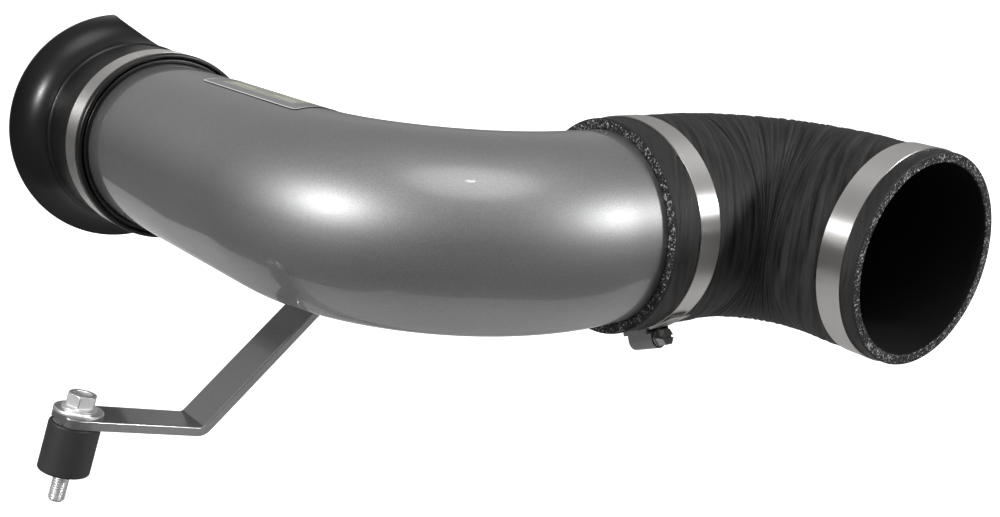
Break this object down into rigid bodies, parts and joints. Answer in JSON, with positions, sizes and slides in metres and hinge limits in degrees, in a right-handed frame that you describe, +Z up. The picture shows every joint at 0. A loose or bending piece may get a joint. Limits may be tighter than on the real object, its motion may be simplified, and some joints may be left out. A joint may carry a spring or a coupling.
{
  "type": "car cold air intake pipe",
  "caption": "Bent metal intake tube with a rubber bell adapter, a clamped rubber elbow and a strap bracket on a rubber isolator.",
  "frame": {"origin": "the seat of the isolator: the point on the stud's axis in the lower face of the isolator's plate", "axes": "+Z up, normal to the plane that the pipe's bends lie in; +X along the tube's inlet run, from the bell towards the elbow; +Y the way the tube turns, away from the bell"},
  "size_m": [0.4473, 0.4394, 0.2135],
  "materials": {
    "tube_paint": "gunmetal grey metallic paint under a clear coat, on aluminium",
    "bracket_paint": "the tube's gunmetal grey metallic paint, on aluminium strap and weld",
    "label_film": "thin clear film with a white outline and a pale yellow-green field",
    "adapter_rubber": "satin black moulded rubber",
    "hose_rubber": "matte dark grey wrapped rubber over fabric plies",
    "clamp_steel": "bright smooth stainless strip",
    "zinc_steel": "bright zinc plating",
    "isolator_rubber": "matte black moulded rubber"
  },
  "bodies": {
    "root": {"intake_tube": "tube_paint", "tube_label": "label_film", "support_bracket": "bracket_paint", "bracket_weld": "bracket_paint", "rubber_adapter": "adapter_rubber", "adapter_clamp_band": "clamp_steel", "adapter_clamp_housing": "clamp_steel", "adapter_clamp_screw": "zinc_steel", "elbow_hose": "hose_rubber", "inner_clamp_band": "clamp_steel", "inner_clamp_housing": "clamp_steel", "inner_clamp_screw": "zinc_steel", "outer_clamp_band": "clamp_steel", "outer_clamp_housing": "clamp_steel", "outer_clamp_screw": "zinc_steel", "isolator_rubber": "isolator_rubber", "isolator_top_plate": "zinc_steel", "isolator_bottom_plate": "zinc_steel", "isolator_stud": "zinc_steel", "flange_bolt": "zinc_steel", "flat_washer": "zinc_steel"}
  },
  "joints": []
}
